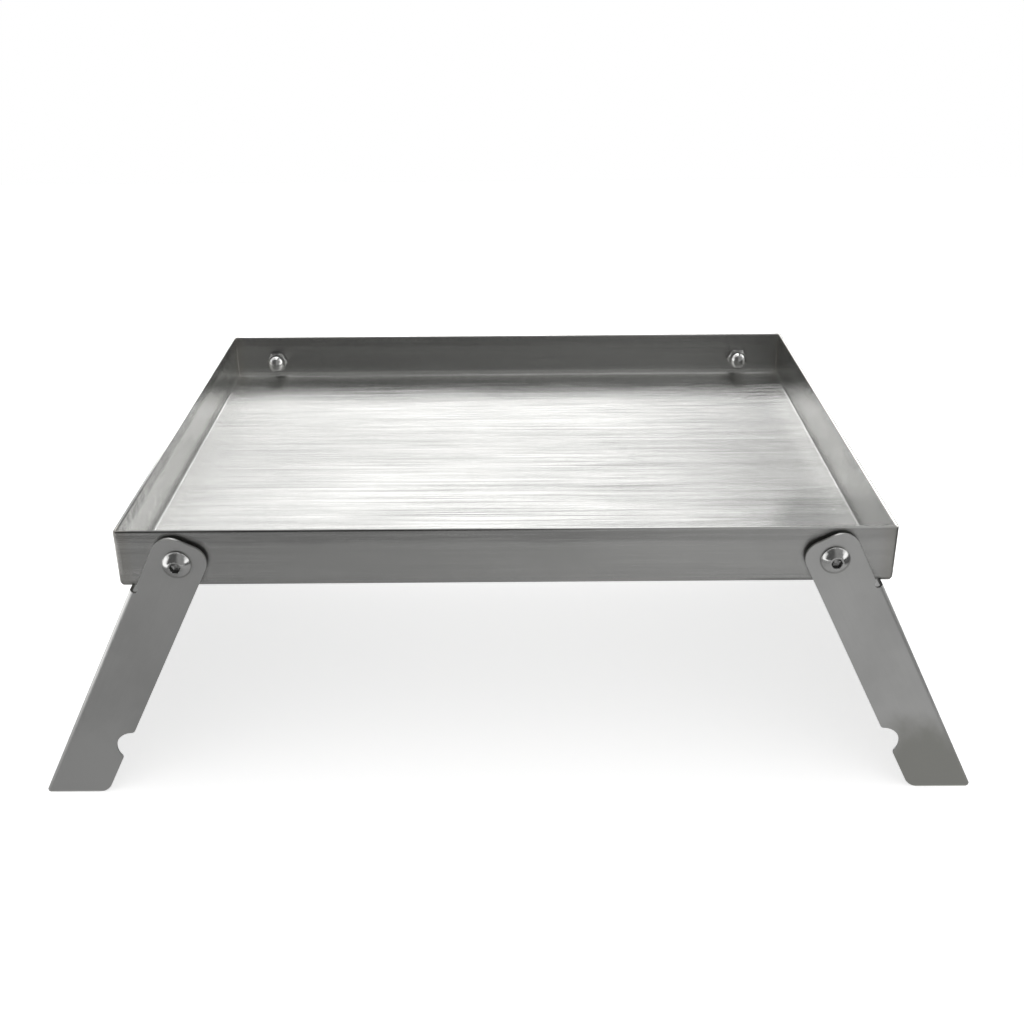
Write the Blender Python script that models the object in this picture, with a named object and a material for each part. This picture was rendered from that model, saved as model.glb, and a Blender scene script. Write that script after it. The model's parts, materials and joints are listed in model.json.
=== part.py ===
"""Folding stove stand of stainless-steel sheet.

A shallow tray, folded from one sheet and welded at its corners, stands on two legs. Each leg is
one sheet folded to a U: a web as wide as the tray is deep, and two arms that stand outside the
tray's front and back walls. Four screws, each with a spacer washer and a cap nut, pivot the arms.
Open, the top edge of each web meets the tray's underside. Folded, the webs lie flat below it.

Metres, +Z up. The origin is on the surface that the stand rests on, below the tray's centre.
X runs from the left leg to the right leg, and the front is at -Y.
"""

import math

import bmesh
import bpy
from mathutils import Matrix, Vector

# Tray, with the bend's inner radius and the corners' radii outside and inside
STAND_HEIGHT = 0.100
TRAY_LENGTH = 0.250
TRAY_DEPTH = 0.200
TRAY_WALL = 0.020
TRAY_SHEET = 0.0012
TRAY_BEND = 0.0008
TRAY_CORNER = 0.0012
TRAY_INNER_CORNER = 0.0003

# Legs. The pivot is inset from the tray's end and rises above its underside
LEG_SHEET = 0.0010
LEG_BEND = 0.0006
LEG_SPLAY = math.radians(26.4)
PIVOT_INSET = 0.020
PIVOT_RISE = 0.0094

# Arms, measured from the pivot: in to the free edge, up to the head's end, down to the hook notch
ARM_REACH_INWARD = 0.0089
HEAD_REACH = 0.008
HEAD_ROUND = 0.006
HEAD_LEAST_FLAT = 0.0001
FOOT_ROUND = 0.0055
HOOK_FROM_PIVOT = 0.0735
HOOK_RADIUS = 0.0058
HOOK_DEPTH = 0.0040
HOOK_LIP_ROUND = 0.0016

# Relief hole where each bend starts, its centre above the web's top edge and outside the bend line
RELIEF_RADIUS = 0.0013
RELIEF_RISE = 0.0012
RELIEF_OUT = 0.0003

# M5 fasteners
SHANK_RADIUS = 0.0025
SCREW_END_CHAMFER = 0.0005
THREAD_ENGAGEMENT = 0.0060
HEAD_RADIUS = 0.00475
HEAD_HEIGHT = 0.00275
HEAD_RIM = 0.00035
HEAD_FLAT_RADIUS = 0.0022
SOCKET_ACROSS_FLATS = 0.003
SOCKET_DEPTH = 0.0019
WASHER_RADIUS = 0.005
WASHER_THICKNESS = 0.001
NUT_ACROSS_FLATS = 0.008
NUT_HEX_HEIGHT = 0.004
NUT_CHAMFER_HEIGHT = 0.0004
NUT_DOME_STEP = 0.00025
NUT_BORE_POINT = 0.0012
NUT_CROWN = 0.0016

# Clearances
FACE_GAP = 0.0002
THREAD_CLEARANCE = 0.0001
SCREW_END_CLEARANCE = 0.0012
WASHER_CLEARANCE = 0.00015
PIVOT_HOLE_CLEARANCE = 0.00025

# How far a cutter runs past what it cuts, and the facets of round shapes
CUT_OVERRUN = 0.002
ARC_STEP = math.radians(12)
ROUND_STEPS = 28
BEND_STEPS = 5
CORNER_STEPS = 3
HEX_SIDES = 6
SHARP_ANGLE = math.radians(31)
MERGE_DISTANCE = 1e-6

# What follows from the sizes above. WEB and BEND_LINE are distances outward from the pivot axis
PIVOT_X = TRAY_LENGTH / 2 - PIVOT_INSET
TRAY_UNDERSIDE = STAND_HEIGHT - TRAY_WALL
PIVOT_Z = TRAY_UNDERSIDE + PIVOT_RISE
WEB_INNER = PIVOT_RISE + FACE_GAP
WEB_OUTER = WEB_INNER + LEG_SHEET
LEG_OUTER_BEND = LEG_BEND + LEG_SHEET
BEND_LINE = WEB_OUTER - LEG_OUTER_BEND
ARM_INNER_Y = TRAY_DEPTH / 2 + WASHER_THICKNESS + 2 * FACE_GAP
ARM_OUTER_Y = ARM_INNER_Y + LEG_SHEET
HOLE_RADIUS = SHANK_RADIUS + PIVOT_HOLE_CLEARANCE
HEAD_SEAT = ARM_OUTER_Y + FACE_GAP - TRAY_DEPTH / 2
NUT_SEAT = -TRAY_SHEET - FACE_GAP
SCREW_LENGTH = HEAD_SEAT - NUT_SEAT + THREAD_ENGAGEMENT
NUT_BORE_DEPTH = THREAD_ENGAGEMENT + SCREW_END_CLEARANCE
NUT_HEIGHT = NUT_BORE_DEPTH + NUT_BORE_POINT + NUT_CROWN

# Colour and roughness of the brushed sheet and of the fasteners
SHEET_STEEL = (0.60, 0.60, 0.58), 0.38
BRIGHT_STEEL = (0.70, 0.70, 0.68), 0.22


def clear_scene():
    """Removes whatever the scene holds."""
    for obj in list(bpy.data.objects):
        bpy.data.objects.remove(obj, do_unlink=True)


def steel_material(name, colour, roughness):
    """A plain stainless-steel material."""
    material = bpy.data.materials.new(name)
    material.use_nodes = True
    shader = material.node_tree.nodes["Principled BSDF"]
    shader.inputs["Base Color"].default_value = (*colour, 1.0)
    shader.inputs["Metallic"].default_value = 1.0
    shader.inputs["Roughness"].default_value = roughness
    return material


def place(name, mesh, material, parent, location=(0, 0, 0), turn=(0, 0, 0)):
    """Puts a mesh in the scene as a named object. Copies may share one mesh."""
    if not mesh.materials:
        mesh.materials.append(material)
    obj = bpy.data.objects.new(name, mesh)
    obj.location = location
    obj.rotation_euler = turn
    obj.parent = parent
    bpy.context.scene.collection.objects.link(obj)
    return obj


def arc(centre, radius, start, end):
    """Points on a circle from one angle to another, both ends included."""
    steps = max(2, math.ceil(abs(end - start) / ARC_STEP))
    angles = [start + (end - start) * i / steps for i in range(steps + 1)]
    return [(centre[0] + radius * math.cos(a), centre[1] + radius * math.sin(a)) for a in angles]


def fillet(before, corner, after, radius):
    """The arc that rounds a corner of an outline, touching the lines to the points beside it."""
    corner = Vector(corner)
    to_before = (Vector(before) - corner).normalized()
    to_after = (Vector(after) - corner).normalized()
    half = to_before.angle(to_after) / 2
    centre = corner + (to_before + to_after).normalized() * (radius / math.sin(half))
    touch = corner + to_before * (radius / math.tan(half)) - centre
    leave = corner + to_after * (radius / math.tan(half)) - centre
    start = math.atan2(touch.y, touch.x)
    sweep = math.atan2(touch.x * leave.y - touch.y * leave.x, touch.dot(leave))
    return arc(centre, radius, start, start + sweep)


def finished_mesh(bm, name):
    """Turns a bmesh into a mesh with outward normals and smooth round faces."""
    bmesh.ops.recalc_face_normals(bm, faces=bm.faces)
    mesh = bpy.data.meshes.new(name)
    bm.to_mesh(mesh)
    bm.free()
    mesh.shade_smooth()
    mesh.set_sharp_from_angle(angle=SHARP_ANGLE)
    return mesh


def extruded(name, outline, low, high, to_space):
    """A prism: an outline of (a, b) points run from low to high. to_space maps (a, b, c) to a point."""
    bm = bmesh.new()
    face = bm.faces.new([bm.verts.new(to_space(a, b, low)) for a, b in outline])
    new = bmesh.ops.extrude_face_region(bm, geom=[face])["geom"]
    lift = Vector(to_space(0, 0, high)) - Vector(to_space(0, 0, low))
    bmesh.ops.translate(bm, verts=[v for v in new if isinstance(v, bmesh.types.BMVert)], vec=lift)
    return finished_mesh(bm, name)


def turned(name, profile):
    """A turned piece: a profile of (radius, height) points spun round Z. It may end on the axis."""
    bm = bmesh.new()
    verts = [bm.verts.new((radius, 0, height)) for radius, height in profile]
    edges = [bm.edges.new(pair) for pair in zip(verts, verts[1:])]
    if profile[0][0] > 0:
        edges.append(bm.edges.new((verts[-1], verts[0])))
    bmesh.ops.spin(
        bm, geom=verts + edges, cent=(0, 0, 0), axis=(0, 0, 1), angle=math.tau, steps=ROUND_STEPS,
        use_merge=True,
    )
    bmesh.ops.remove_doubles(bm, verts=bm.verts, dist=MERGE_DISTANCE)
    return finished_mesh(bm, name)


def combined(name, body, operations):
    """The mesh left after Boolean operations, each an (operation, mesh, place of that mesh)."""
    target = bpy.data.objects.new(name, body)
    bpy.context.scene.collection.objects.link(target)
    tools = []
    for operation, mesh, matrix in operations:
        tool = bpy.data.objects.new(name + "_cutter", mesh)
        tool.matrix_world = matrix
        tool.hide_render = True
        tool.display_type = "WIRE"
        bpy.context.scene.collection.objects.link(tool)
        modifier = target.modifiers.new(operation.title(), "BOOLEAN")
        modifier.operation = operation
        modifier.solver = "EXACT"
        modifier.object = tool
        tools.append(tool)
    graph = bpy.context.evaluated_depsgraph_get()
    mesh = bpy.data.meshes.new_from_object(target.evaluated_get(graph))
    for obj in [target, *tools]:
        bpy.data.objects.remove(obj, do_unlink=True)
    mesh.name = name
    mesh.shade_smooth()
    mesh.set_sharp_from_angle(angle=SHARP_ANGLE)
    return mesh


def along_y(radius, low, high):
    """A round cutter from low to high along Y."""
    outline = arc((0, 0), radius, 0, math.tau)[:-1]
    return extruded("round_cutter", outline, low, high, lambda a, b, c: (a, c, b))


def tray_ring(inset, height, corner):
    """A rectangle with round corners, inset from the tray's outer faces, at a height."""
    corner = max(corner - inset, TRAY_INNER_CORNER)
    half_x = TRAY_LENGTH / 2 - inset - corner
    half_y = TRAY_DEPTH / 2 - inset - corner
    points = []
    for quarter, (sign_x, sign_y) in enumerate(((1, 1), (-1, 1), (-1, -1), (1, -1))):
        for step in range(CORNER_STEPS + 1):
            angle = math.pi / 2 * (quarter + step / CORNER_STEPS)
            x = sign_x * half_x + corner * math.cos(angle)
            y = sign_y * half_y + corner * math.sin(angle)
            points.append((x, y, height))
    return points


def tray_mesh():
    """The folded tray: rings lofted from under the floor, round the bends and rim, to the floor."""
    outer_bend = TRAY_BEND + TRAY_SHEET
    quarter = [math.pi / 2 * step / BEND_STEPS for step in range(BEND_STEPS + 1)]
    section = [(outer_bend * (1 - math.sin(a)), outer_bend * (1 - math.cos(a))) for a in quarter]
    section += [(0, TRAY_WALL), (TRAY_SHEET, TRAY_WALL)]
    section += [
        (TRAY_SHEET + TRAY_BEND * (1 - math.cos(a)), TRAY_SHEET + TRAY_BEND * (1 - math.sin(a)))
        for a in quarter
    ]
    bm = bmesh.new()
    rings = [
        [bm.verts.new(point) for point in tray_ring(inset, height, TRAY_CORNER)]
        for inset, height in section
    ]
    for below, above in zip(rings, rings[1:]):
        for i in range(len(below)):
            bm.faces.new((below[i - 1], below[i], above[i], above[i - 1]))
    bm.faces.new(reversed(rings[0]))
    bm.faces.new(rings[-1])
    holes = []
    hole = along_y(HOLE_RADIUS, -CUT_OVERRUN - TRAY_SHEET, CUT_OVERRUN)
    for x in (-PIVOT_X, PIVOT_X):
        for y in (-TRAY_DEPTH / 2, TRAY_DEPTH / 2):
            facing = Matrix.Rotation(math.pi if y < 0 else 0, 4, "Z")
            holes.append(("DIFFERENCE", hole, Matrix.Translation((x, y, PIVOT_RISE)) @ facing))
    return combined("tray", finished_mesh(bm, "tray_sheet"), holes)


def leg_length_at(inward):
    """How far below the pivot, along the leg, the floor is, on the line this far inward of the pivot."""
    return (PIVOT_Z - inward * math.sin(LEG_SPLAY)) / math.cos(LEG_SPLAY)


def hook_edge():
    """The half-round hook notch in an arm's inner edge, from its lower lip to its upper lip."""
    beyond = HOOK_RADIUS - HOOK_DEPTH
    centre = (ARM_REACH_INWARD + beyond, -HOOK_FROM_PIVOT)
    lip_in = beyond + HOOK_LIP_ROUND
    lip_along = math.sqrt((HOOK_RADIUS + HOOK_LIP_ROUND) ** 2 - lip_in**2)
    opening = math.atan2(lip_along, lip_in)
    lip = ARM_REACH_INWARD - HOOK_LIP_ROUND
    lower_lip = (lip, centre[1] - lip_along)
    upper_lip = (lip, centre[1] + lip_along)
    return (
        arc(lower_lip, HOOK_LIP_ROUND, 0, opening)
        + arc(centre, HOOK_RADIUS, math.pi + opening, math.pi - opening)[1:-1]
        + arc(upper_lip, HOOK_LIP_ROUND, -opening, 0)
    )


def leg_side_outline(web_top):
    """The leg seen from the front, as (inward of the pivot, above the pivot), anticlockwise."""
    head_in = (ARM_REACH_INWARD, HEAD_REACH)
    head_out = (-BEND_LINE, HEAD_REACH)
    shoulder = (-BEND_LINE, -web_top)
    web_end = leg_length_at(-BEND_LINE)
    past_web = -WEB_OUTER - CUT_OVERRUN
    heel = (-BEND_LINE, -web_end)
    toe = (ARM_REACH_INWARD, -leg_length_at(ARM_REACH_INWARD))
    hook = hook_edge()
    head_round = min(HEAD_ROUND, (ARM_REACH_INWARD + BEND_LINE - HEAD_LEAST_FLAT) / 2)
    outline = fillet(hook[-1], head_in, head_out, head_round)
    outline += fillet(head_in, head_out, shoulder, head_round)
    outline += [shoulder, (past_web, -web_top), (past_web, -web_end), heel]
    outline += fillet(heel, toe, hook[0], FOOT_ROUND)
    return outline + hook


def leg_channel_outline():
    """The folded sheet seen along the leg, as (inward of the pivot, Y), anticlockwise."""
    end = ARM_REACH_INWARD + CUT_OVERRUN
    outline = []
    for web, arm, radius in (
        (WEB_OUTER, ARM_OUTER_Y, LEG_OUTER_BEND),
        (WEB_INNER, -ARM_INNER_Y, LEG_BEND),
    ):
        path = [(end, -arm), (-web, -arm), (-web, arm), (end, arm)]
        outline += [path[0]]
        outline += fillet(path[0], path[1], path[2], radius)
        outline += fillet(path[1], path[2], path[3], radius)
        outline += [path[3]]
    return outline[::-1]


def leg_mesh():
    """A leg hanging straight down from its pivot axis, with its web on the -X side."""
    stop_drop = PIVOT_RISE + FACE_GAP + WEB_OUTER * math.sin(LEG_SPLAY)
    web_top = stop_drop / math.cos(LEG_SPLAY)
    below = -leg_length_at(-BEND_LINE) - CUT_OVERRUN
    above = HEAD_REACH + CUT_OVERRUN
    channel = extruded("leg_channel", leg_channel_outline(), below, above, lambda a, b, c: (a, b, c))
    past_arms = ARM_OUTER_Y + CUT_OVERRUN
    side = extruded(
        "leg_side", leg_side_outline(web_top), -past_arms, past_arms, lambda a, b, c: (a, c, b)
    )
    pivot_holes = along_y(HOLE_RADIUS, -past_arms, past_arms)
    relief = along_y(RELIEF_RADIUS, ARM_OUTER_Y - LEG_OUTER_BEND, past_arms)
    relief_place = Matrix.Translation((-BEND_LINE - RELIEF_OUT, 0, RELIEF_RISE - web_top))
    operations = [
        ("INTERSECT", side, Matrix.Identity(4)),
        ("DIFFERENCE", pivot_holes, Matrix.Identity(4)),
        ("DIFFERENCE", relief, relief_place),
        ("DIFFERENCE", relief, relief_place @ Matrix.Rotation(math.pi, 4, "Z")),
    ]
    return combined("leg", channel, operations)


def hexagon(across_flats):
    """A hexagon's corners, with flats square to the second axis."""
    radius = across_flats / math.sqrt(3)
    turns = [math.tau * i / HEX_SIDES for i in range(HEX_SIDES)]
    return [(radius * math.cos(turn), radius * math.sin(turn)) for turn in turns]


def screw_mesh():
    """A button-head socket screw along Z, its shank below and the underside of its head at zero."""
    rise = HEAD_HEIGHT - HEAD_RIM
    dome_centre = (
        HEAD_HEIGHT**2 + HEAD_FLAT_RADIUS**2 - HEAD_RIM**2 - HEAD_RADIUS**2
    ) / (2 * rise)
    dome_radius = math.hypot(HEAD_RADIUS, HEAD_RIM - dome_centre)
    dome = arc(
        (0, dome_centre),
        dome_radius,
        math.atan2(HEAD_RIM - dome_centre, HEAD_RADIUS),
        math.atan2(HEAD_HEIGHT - dome_centre, HEAD_FLAT_RADIUS),
    )
    profile = [
        (0, -SCREW_LENGTH),
        (SHANK_RADIUS - SCREW_END_CHAMFER, -SCREW_LENGTH),
        (SHANK_RADIUS, SCREW_END_CHAMFER - SCREW_LENGTH),
        (SHANK_RADIUS, 0),
        (HEAD_RADIUS, 0),
        *dome,
        (0, HEAD_HEIGHT),
    ]
    socket = extruded(
        "socket_cutter",
        hexagon(SOCKET_ACROSS_FLATS),
        HEAD_HEIGHT - SOCKET_DEPTH,
        HEAD_HEIGHT + CUT_OVERRUN,
        lambda a, b, c: (a, b, c),
    )
    operations = [("DIFFERENCE", socket, Matrix.Identity(4))]
    return combined("pivot_screw", turned("screw_blank", profile), operations)


def nut_mesh():
    """A cap nut along Z: its seat at zero, its blind bore opening there, and its dome below."""
    corner = NUT_ACROSS_FLATS / math.sqrt(3)
    seat = NUT_ACROSS_FLATS / 2
    bore = SHANK_RADIUS + THREAD_CLEARANCE
    dome = seat - NUT_DOME_STEP
    dome_base = dome - NUT_HEIGHT
    profile = [
        (0, -NUT_BORE_DEPTH - NUT_BORE_POINT),
        (bore, -NUT_BORE_DEPTH),
        (bore, 0),
        (seat, 0),
        (corner, -NUT_CHAMFER_HEIGHT),
        (corner, NUT_CHAMFER_HEIGHT - NUT_HEX_HEIGHT),
        (seat, -NUT_HEX_HEIGHT),
        (dome, -NUT_HEX_HEIGHT),
        *arc((0, dome_base), dome, 0, -math.pi / 2)[:-1],
        (0, -NUT_HEIGHT),
    ]
    flats = extruded(
        "nut_flats",
        hexagon(NUT_ACROSS_FLATS),
        -NUT_HEIGHT - CUT_OVERRUN,
        CUT_OVERRUN,
        lambda a, b, c: (a, b, c),
    )
    operations = [("INTERSECT", flats, Matrix.Identity(4))]
    return combined("cap_nut", turned("nut_blank", profile), operations)


def washer_mesh():
    """A plain washer along Z, its outer face at zero."""
    bore = SHANK_RADIUS + WASHER_CLEARANCE
    profile = [
        (bore, 0),
        (WASHER_RADIUS, 0),
        (WASHER_RADIUS, -WASHER_THICKNESS),
        (bore, -WASHER_THICKNESS),
    ]
    return turned("washer", profile)


def build_stand():
    """Makes every piece of the stand and puts it in its place, open on its legs."""
    stand = bpy.data.objects.new("stove_stand", None)
    bpy.context.scene.collection.objects.link(stand)
    sheet = steel_material("brushed_sheet", *SHEET_STEEL)
    bright = steel_material("bright_fastener", *BRIGHT_STEEL)
    place("tray", tray_mesh(), sheet, stand, location=(0, 0, TRAY_UNDERSIDE))
    leg = leg_mesh()
    place("left_leg", leg, sheet, stand, (-PIVOT_X, 0, PIVOT_Z), (0, LEG_SPLAY, 0))
    place("right_leg", leg, sheet, stand, (PIVOT_X, 0, PIVOT_Z), (0, LEG_SPLAY, math.pi))
    fasteners = (
        ("pivot_screw", screw_mesh(), HEAD_SEAT),
        ("spacer_washer", washer_mesh(), FACE_GAP + WASHER_THICKNESS),
        ("cap_nut", nut_mesh(), NUT_SEAT),
    )
    for end, side in (("front", -1), ("back", 1)):
        for hand, x in (("left", -PIVOT_X), ("right", PIVOT_X)):
            for piece, mesh, outward in fasteners:
                location = (x, side * (TRAY_DEPTH / 2 + outward), PIVOT_Z)
                turn = (-side * math.pi / 2, 0, 0)
                place(f"{end}_{hand}_{piece}", mesh, bright, stand, location, turn)


clear_scene()
build_stand()
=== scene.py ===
"""Looks of a folding stove stand: brushed stainless sheet, bright pivot fasteners and a pale studio.

Each piece is a surface worked out with numpy from the sizes below and from the frame's own
places. Metres, +Z up, the front at -Y. Across a leg, "inward" runs from its pivot towards the
stand's middle, and "along" runs from its pivot down to its foot.
"""

import json
import math

import bmesh
import bpy
import numpy as np
from bpy.props import FloatProperty, FloatVectorProperty, PointerProperty
from bpy.types import Operator, Panel, PropertyGroup
from mathutils import Matrix, Vector


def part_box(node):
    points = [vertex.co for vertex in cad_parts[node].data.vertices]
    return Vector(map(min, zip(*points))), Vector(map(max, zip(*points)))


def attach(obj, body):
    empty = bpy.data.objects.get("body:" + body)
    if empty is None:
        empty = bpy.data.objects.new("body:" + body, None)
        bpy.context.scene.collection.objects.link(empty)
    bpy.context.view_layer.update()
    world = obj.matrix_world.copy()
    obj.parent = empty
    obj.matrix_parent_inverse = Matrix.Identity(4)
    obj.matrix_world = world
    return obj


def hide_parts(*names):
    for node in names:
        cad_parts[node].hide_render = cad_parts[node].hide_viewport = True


bl_info = {
    "name": "Folding stove stand",
    "version": (1, 0, 0),
    "blender": (4, 5, 0),
    "location": "View3D > Sidebar > Stove Stand",
    "description": "Makes the tray, legs, pivot fasteners and studio of a folding stove stand",
    "category": "Object",
}

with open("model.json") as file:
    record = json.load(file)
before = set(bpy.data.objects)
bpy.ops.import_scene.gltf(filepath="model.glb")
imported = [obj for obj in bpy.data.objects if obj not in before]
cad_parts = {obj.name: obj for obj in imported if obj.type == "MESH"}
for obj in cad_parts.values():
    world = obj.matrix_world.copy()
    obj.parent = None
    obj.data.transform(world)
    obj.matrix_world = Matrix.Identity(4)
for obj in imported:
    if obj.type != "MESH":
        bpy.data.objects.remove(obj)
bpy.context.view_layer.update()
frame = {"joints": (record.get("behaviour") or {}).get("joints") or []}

TRAY_LOW, TRAY_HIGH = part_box("tray")
PIVOT_X, _, PIVOT_Z = frame["joints"][1]["pos_m"]
SIDES = {"left": -1, "right": 1}
ENDS = {"front": -1, "back": 1}

# Points closer than this are joined.
WELD = 1e-6

# A row or column this close to a bend keeps the wall beside it flat in its shading.
GUARD = 0.0001

# Half the width of the flat cell round each pivot hole, and the points on the hole's circle.
PIVOT_CELL = 0.005
HOLE_POINTS = 32

SMOOTH_ANGLE = math.radians(35)
BLANK_MAP = "blank"
WHITE = (1.0, 1.0, 1.0, 1.0)


def length(name, default, description):
    """A size in metres."""
    return FloatProperty(
        name=name, description=description, default=default, min=0.0, precision=5, unit="LENGTH"
    )


def share(name, default, description):
    """A plain number from 0 to 1."""
    return FloatProperty(name=name, description=description, default=default, min=0.0, max=1.0)


def strength(name, default, description):
    """A brightness, where 1 is white."""
    return FloatProperty(name=name, description=description, default=default, min=0.0)


def colour(name, default, description):
    """A linear colour."""
    return FloatVectorProperty(
        name=name, description=description, default=default, min=0.0, max=1.0, subtype="COLOR"
    )


def angle(name, degrees, description):
    """An angle, written in degrees."""
    return FloatProperty(
        name=name, description=description, default=math.radians(degrees), subtype="ANGLE"
    )


class TraySizes(PropertyGroup):
    """Sizes of the folded tray."""

    sheet: length("Sheet", 0.0012, "Thickness of the tray's sheet")
    bend: length("Bend", 0.0008, "Inner radius of the bend between floor and walls")
    corner: length("Corner", 0.0012, "Outer radius of the welded corners")
    inner_corner: length("Inner corner", 0.0003, "Inner radius of the welded corners")
    rim_round: length("Rim round", 0.00058, "Rounding along the ground rim")
    pivot_hole: length("Pivot hole", 0.00275, "Radius of the pivot holes")


class LegSizes(PropertyGroup):
    """Sizes of one folded leg, measured from its pivot."""

    sheet: length("Sheet", 0.0010, "Thickness of the legs' sheet")
    bend: length("Bend", 0.0006, "Inner radius of the bend between web and arms")
    splay: angle("Splay", 26.4, "How far an open leg leans out")
    web_gap: length("Web gap", 0.0002, "Gap between the open web and the tray's underside")
    arm_gap: length("Arm gap", 0.0014, "Gap between the tray's wall and the arm, where the washer sits")
    reach_inward: length("Arm reach", 0.0089, "From the pivot to the arm's free edge")
    head_reach: length("Head reach", 0.008, "From the pivot to the arm's upper end")
    head_round: length("Head round", 0.006, "Rounding of the arm's upper corners")
    foot_round: length("Foot round", 0.0055, "Rounding of the foot's inner corner")
    hook_along: length("Hook along", 0.0735, "From the pivot down to the hook notch")
    hook_radius: length("Hook radius", 0.0058, "Radius of the hook notch")
    hook_depth: length("Hook depth", 0.0040, "Depth of the hook notch")
    hook_lip: length("Hook lip", 0.0016, "Rounding of the hook notch's lips")
    relief_radius: length("Relief radius", 0.0013, "Radius of the bend's relief hole")
    relief_rise: length("Relief rise", 0.0012, "Height of the relief hole's centre above the web")
    relief_out: length("Relief out", 0.0003, "From the bend line out to the relief hole's centre")
    pivot_hole: length("Pivot hole", 0.00275, "Radius of the pivot holes")
    edge_round: length("Edge round", 0.0002, "Rounding of the cut edges")
    foot_gap: length("Foot gap", 0.00003, "Gap that keeps the folded corner off the floor")


class FastenerSizes(PropertyGroup):
    """Sizes of the pivots' screws, washers and nuts."""

    shank_radius: length("Shank radius", 0.0025, "Radius of the screw's shank")
    shank_chamfer: length("Shank chamfer", 0.0005, "Chamfer on the screw's end")
    seat_gap: length("Seat gap", 0.0002, "Gap between faces that meet")
    head_radius: length("Head radius", 0.00475, "Radius of the button head")
    head_height: length("Head height", 0.00275, "Height of the button head")
    head_rim: length("Head rim", 0.00035, "Height of the head's rim below its dome")
    head_flat: length("Head flat", 0.0022, "Radius of the flat on top of the head")
    socket: length("Socket", 0.003, "Width of the key socket across its flats")
    socket_depth: length("Socket depth", 0.0019, "Depth of the key socket")
    washer_radius: length("Washer radius", 0.005, "Radius of the spacer washer")
    washer_sheet: length("Washer thickness", 0.001, "Thickness of the spacer washer")
    washer_bore: length("Washer bore", 0.00265, "Radius of the washer's bore")
    nut_width: length("Nut width", 0.008, "Width of the nut across its flats")
    nut_hex: length("Nut hexagon", 0.004, "Height of the nut's hexagon")
    nut_height: length("Nut height", 0.010, "Height of the nut with its dome")
    nut_bore: length("Nut bore", 0.0026, "Radius of the nut's blind bore")
    nut_bore_depth: length("Nut bore depth", 0.0072, "Depth of the nut's blind bore")
    nut_bore_point: length("Nut bore point", 0.0012, "Depth of the drill point below the bore")
    fine_round: length("Fine round", 0.00012, "Small rounding and chamfers on the fasteners")


class FinishColours(PropertyGroup):
    """Colours and gloss of the stand's finishes."""

    tray_steel: colour("Tray steel", (0.56, 0.56, 0.548), "Brushed sheet of the tray")
    leg_steel: colour("Leg steel", (0.64, 0.64, 0.63), "Satin sheet of the legs")
    # The right leg's foot colour is painted shade that stands in for the floor's reflection there.
    shaded_foot: colour("Dull foot", (0.40, 0.40, 0.375), "Soiled foot of the right leg")
    cut_edge: colour("Cut edge", (0.50, 0.50, 0.49), "Bare cut edges of the sheet")
    weld_tint: colour("Weld tint", (0.40, 0.37, 0.32), "Heat tint beside the welded corners")
    bright_steel: colour("Bright steel", (0.60, 0.60, 0.59), "Screws, washers and nuts")
    tray_roughness: share("Tray roughness", 0.19, "Roughness of the tray's brushed sheet")
    brushing: length("Brushing", 0.00007, "Height of the brushed lines on the tray")
    leg_roughness: share("Leg roughness", 0.38, "Roughness of the legs' satin sheet")
    bright_roughness: share("Fastener roughness", 0.17, "Roughness of the fasteners")


class StudioSettings(PropertyGroup):
    """Camera, floor and lamps."""

    lens: FloatProperty(name="Lens", description="Focal length in millimetres", default=45.34)
    yaw: angle("Yaw", 0.123, "Camera turned to the left")
    pitch: angle("Pitch", 25.574, "Camera tipped down")
    roll: angle("Roll", 0.469, "Camera rolled")
    place: FloatVectorProperty(
        name="Camera place", description="Where the camera stands", unit="LENGTH", precision=5,
        default=(0.00289, -0.46643, 0.28132),
    )
    floor: colour("Floor", (0.86, 0.86, 0.86), "Pale floor")
    floor_glow: strength("Floor glow", 0.62, "White added to the floor as the eye sees it")
    sheet_left: strength("Sheet left", 0.26, "Grey mirrored from the floor in front, at the left")
    sheet_right: strength("Sheet right", 0.48, "Grey mirrored from the floor in front, at the right")
    room_left: strength("Room left", 0.12, "Brightness of the room behind the camera, at the left")
    room_right: strength("Room right", 0.34, "Brightness of the room behind the camera, at the right")
    shade: strength("Shade", 0.12, "Brightness of the dark corner at the right")
    sky: strength("Sky", 0.75, "Brightness of the light from all round")
    top_lamp: strength("Top lamp", 1.0, "Brightness of the soft lamp overhead")
    back_lamp: strength("Back lamp", 4.1, "Brightness that the lamp behind the stand is scaled from")
    back_wall: strength("Back wall", 0.7, "Brightness of the wall below that lamp")
    left_lamp: strength("Left lamp", 1.6, "Brightness of the soft lamp on the left")
    right_lamp: strength("Right lamp", 1.6, "Brightness of the soft lamp on the right")


def wave(low, high, count):
    """Evenly spaced angles, both ends included, from degrees."""
    return np.radians(np.linspace(low, high, count))


def arc(centre, radius, angles):
    """Points on a circle: the centre plus the radius times the cosine and sine of each angle."""
    return np.column_stack([centre[0] + radius * np.cos(angles), centre[1] + radius * np.sin(angles)])


def fillet(before, corner, after, radius, count):
    """An arc that rounds a corner: its centre lies on the corner's bisector, the radius over the
    sine of half the corner's angle away, and it runs between the two points of touch."""
    before, corner, after = (np.asarray(point, float) for point in (before, corner, after))
    back = (before - corner) / np.linalg.norm(before - corner)
    on = (after - corner) / np.linalg.norm(after - corner)
    half = math.acos(float(back @ on)) / 2
    middle = (back + on) / np.linalg.norm(back + on)
    centre = corner + middle * radius / math.sin(half)
    touch = corner + back * radius / math.tan(half) - centre
    leave = corner + on * radius / math.tan(half) - centre
    start = math.atan2(touch[1], touch[0])
    sweep = math.atan2(touch[0] * leave[1] - touch[1] * leave[0], float(touch @ leave))
    return arc(centre, radius, start + sweep * np.linspace(0, 1, count))


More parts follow.
